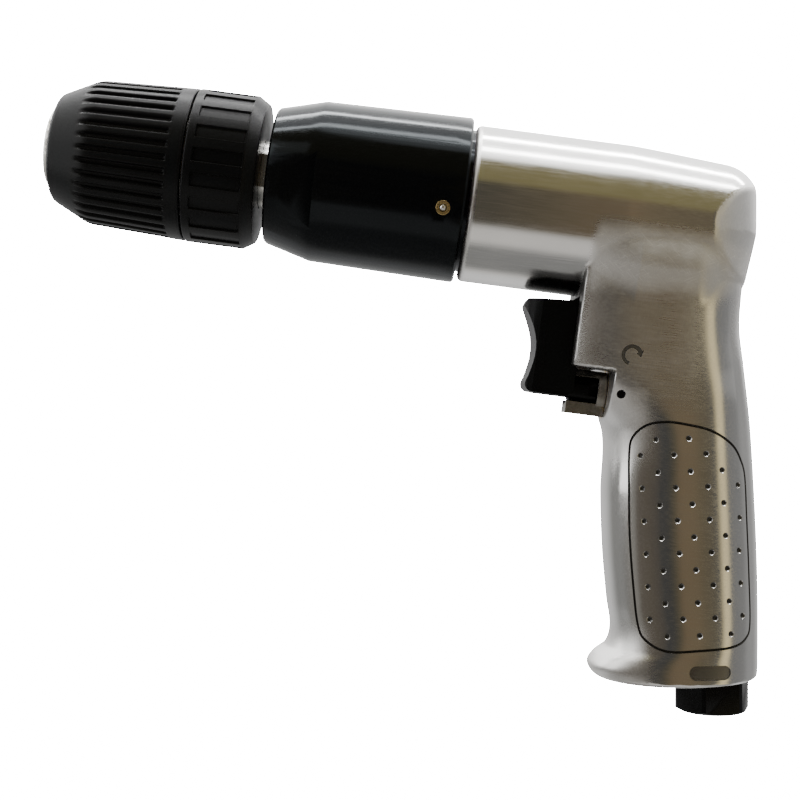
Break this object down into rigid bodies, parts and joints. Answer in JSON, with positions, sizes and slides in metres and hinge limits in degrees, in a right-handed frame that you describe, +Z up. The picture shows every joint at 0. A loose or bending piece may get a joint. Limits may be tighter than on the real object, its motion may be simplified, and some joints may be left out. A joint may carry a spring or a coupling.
{
  "type": "air drill",
  "caption": "Pistol-grip air drill with a ribbed keyless chuck, round gear case, polished housing with raked grip, pull trigger, reverse lever and threaded air inlet.",
  "frame": {"origin": "on the spindle axis, in the plane of the chuck's nose", "axes": "+X along the spindle from the chuck to the rear, +Z up, grip down along -Z"},
  "size_m": [0.2183, 0.047, 0.1593],
  "materials": {
    "polished_aluminium": "polished cast aluminium with fine brush marks",
    "black_oxide_case": "satin black",
    "black_plastic": "satin moulded plastic",
    "trigger_plastic": "satin moulded plastic",
    "lever_steel": "dark sintered steel",
    "black_oxide_steel": "black oxide",
    "brass": "turned brass",
    "seal_rubber": "matte rubber",
    "felt": "pressed felt",
    "vane_composite": "phenolic composite",
    "bright_steel": "ground steel",
    "gear_steel": "hardened steel"
  },
  "bodies": {
    "housing": {"housing": "polished_aluminium", "gear_case": "black_oxide_case", "ring_gear": "gear_steel", "spindle_bearing_outer_rings": "bright_steel", "bearing_spacer": "gear_steel", "bearing_clip": "gear_steel", "spindle_seal": "seal_rubber", "grease_fitting": "brass", "grease_check_ball": "bright_steel", "front_end_plate": "gear_steel", "cylinder": "gear_steel", "rear_end_plate": "gear_steel", "cylinder_dowel": "bright_steel", "motor_gasket": "seal_rubber", "rotor_bearing_outer_rings": "bright_steel", "throttle_seat": "brass", "throttle_spring": "gear_steel", "reverse_bush": "brass", "retaining_pin": "black_oxide_steel", "air_inlet_bushing": "black_oxide_steel", "inlet_screen": "bright_steel", "muffler_felt": "felt", "exhaust_cover": "black_oxide_steel"},
    "trigger": {"trigger": "trigger_plastic", "trigger_stem": "bright_steel", "throttle_valve": "brass", "throttle_valve_seal": "seal_rubber"},
    "reverse_lever": {"reverse_lever": "lever_steel", "reverse_valve": "gear_steel", "valve_o_rings": "seal_rubber"},
    "spindle": {"spindle": "bright_steel", "spindle_bearing_inner_rings": "bright_steel", "output_planet_pins": "bright_steel", "chuck_body": "bright_steel", "chuck_rear_ring": "black_plastic", "chuck_screw": "gear_steel"},
    "chuck_sleeve": {"chuck_sleeve": "black_plastic", "chuck_nut": "gear_steel", "chuck_thrust_balls": "bright_steel"},
    "jaw_1": {"jaw_1": "gear_steel"},
    "jaw_2": {"jaw_2": "gear_steel"},
    "jaw_3": {"jaw_3": "gear_steel"},
    "spindle_ball_set": {"spindle_bearing_balls": "bright_steel"},
    "first_carrier": {"first_carrier": "gear_steel", "first_planet_pins": "bright_steel"},
    "output_planet_1": {"output_planet_1": "gear_steel"},
    "output_planet_2": {"output_planet_2": "gear_steel"},
    "output_planet_3": {"output_planet_3": "gear_steel"},
    "first_planet_1": {"first_planet_1": "gear_steel"},
    "first_planet_2": {"first_planet_2": "gear_steel"},
    "first_planet_3": {"first_planet_3": "gear_steel"},
    "rotor": {"rotor": "gear_steel", "vanes": "vane_composite", "rotor_bearing_inner_rings": "bright_steel"},
    "rotor_ball_set": {"rotor_bearing_balls": "bright_steel"}
  },
  "joints": [
    {"name": "trigger_pull", "type": "slide", "parent": "housing", "child": "trigger", "axis": [1, 0, 0], "range_m": [0, 0.006], "stiffness_N_per_m": 1500, "springref_m": -0.004, "deforming": ["throttle_spring"]},
    {"name": "reverse_swing", "type": "hinge", "parent": "housing", "child": "reverse_lever", "pos_m": [0.1654, 0, -0.0492], "axis": [1, 0, 0], "range_deg": [-25, 25]},
    {"name": "rotor_spin", "type": "hinge", "parent": "housing", "child": "rotor", "pos_m": [0.1512, 0, 0], "axis": [1, 0, 0], "continuous": true},
    {"name": "rotor_ball_orbit", "type": "hinge", "parent": "housing", "child": "rotor_ball_set", "pos_m": [0.1512, 0, 0], "axis": [1, 0, 0], "continuous": true},
    {"name": "first_carrier_spin", "type": "hinge", "parent": "housing", "child": "first_carrier", "pos_m": [0.104, 0, 0], "axis": [1, 0, 0], "continuous": true},
    {"name": "spindle_spin", "type": "hinge", "parent": "housing", "child": "spindle", "pos_m": [0.0773, 0, 0], "axis": [1, 0, 0], "continuous": true},
    {"name": "spindle_ball_orbit", "type": "hinge", "parent": "housing", "child": "spindle_ball_set", "pos_m": [0.0773, 0, 0], "axis": [1, 0, 0], "continuous": true},
    {"name": "sleeve_turn", "type": "hinge", "parent": "spindle", "child": "chuck_sleeve", "pos_m": [0.0207, 0, 0], "axis": [1, 0, 0], "range_deg": [0, 3375]},
    {"name": "output_planet_1_spin", "type": "hinge", "parent": "spindle", "child": "output_planet_1", "pos_m": [0.0978, 0, 0.0105], "axis": [1, 0, 0], "continuous": true},
    {"name": "first_planet_1_spin", "type": "hinge", "parent": "first_carrier", "child": "first_planet_1", "pos_m": [0.1096, 0, 0.0105], "axis": [1, 0, 0], "continuous": true},
    {"name": "jaw_1_slide", "type": "slide", "parent": "spindle", "child": "jaw_1", "axis": [-0.9511, 0, -0.309], "range_m": [0, 0.01501]},
    {"name": "output_planet_2_spin", "type": "hinge", "parent": "spindle", "child": "output_planet_2", "pos_m": [0.0978, -0.00909, -0.00525], "axis": [1, 0, 0], "continuous": true},
    {"name": "first_planet_2_spin", "type": "hinge", "parent": "first_carrier", "child": "first_planet_2", "pos_m": [0.1096, -0.00909, -0.00525], "axis": [1, 0, 0], "continuous": true},
    {"name": "jaw_2_slide", "type": "slide", "parent": "spindle", "child": "jaw_2", "axis": [-0.9511, 0.2676, 0.1545], "range_m": [0, 0.01501]},
    {"name": "output_planet_3_spin", "type": "hinge", "parent": "spindle", "child": "output_planet_3", "pos_m": [0.0978, 0.00909, -0.00525], "axis": [1, 0, 0], "continuous": true},
    {"name": "first_planet_3_spin", "type": "hinge", "parent": "first_carrier", "child": "first_planet_3", "pos_m": [0.1096, 0.00909, -0.00525], "axis": [1, 0, 0], "continuous": true},
    {"name": "jaw_3_slide", "type": "slide", "parent": "spindle", "child": "jaw_3", "axis": [-0.9511, -0.2676, 0.1545], "range_m": [0, 0.01501]}
  ],
  "couplings": [
    {"joint": "spindle_spin", "follows": "rotor_spin", "ratio": 0.04},
    {"joint": "first_carrier_spin", "follows": "rotor_spin", "ratio": 0.2},
    {"joint": "rotor_ball_orbit", "follows": "rotor_spin", "ratio": 0.4},
    {"joint": "spindle_ball_orbit", "follows": "rotor_spin", "ratio": 0.015915},
    {"joint": "output_planet_1_spin", "follows": "rotor_spin", "ratio": -0.10667},
    {"joint": "first_planet_1_spin", "follows": "rotor_spin", "ratio": -0.53333},
    {"joint": "jaw_1_slide", "follows": "sleeve_turn", "m_per_rad": 0.00025465},
    {"joint": "output_planet_2_spin", "follows": "rotor_spin", "ratio": -0.10667},
    {"joint": "first_planet_2_spin", "follows": "rotor_spin", "ratio": -0.53333},
    {"joint": "jaw_2_slide", "follows": "sleeve_turn", "m_per_rad": 0.00025465},
    {"joint": "output_planet_3_spin", "follows": "rotor_spin", "ratio": -0.10667},
    {"joint": "first_planet_3_spin", "follows": "rotor_spin", "ratio": -0.53333},
    {"joint": "jaw_3_slide", "follows": "sleeve_turn", "m_per_rad": 0.00025465}
  ]
}
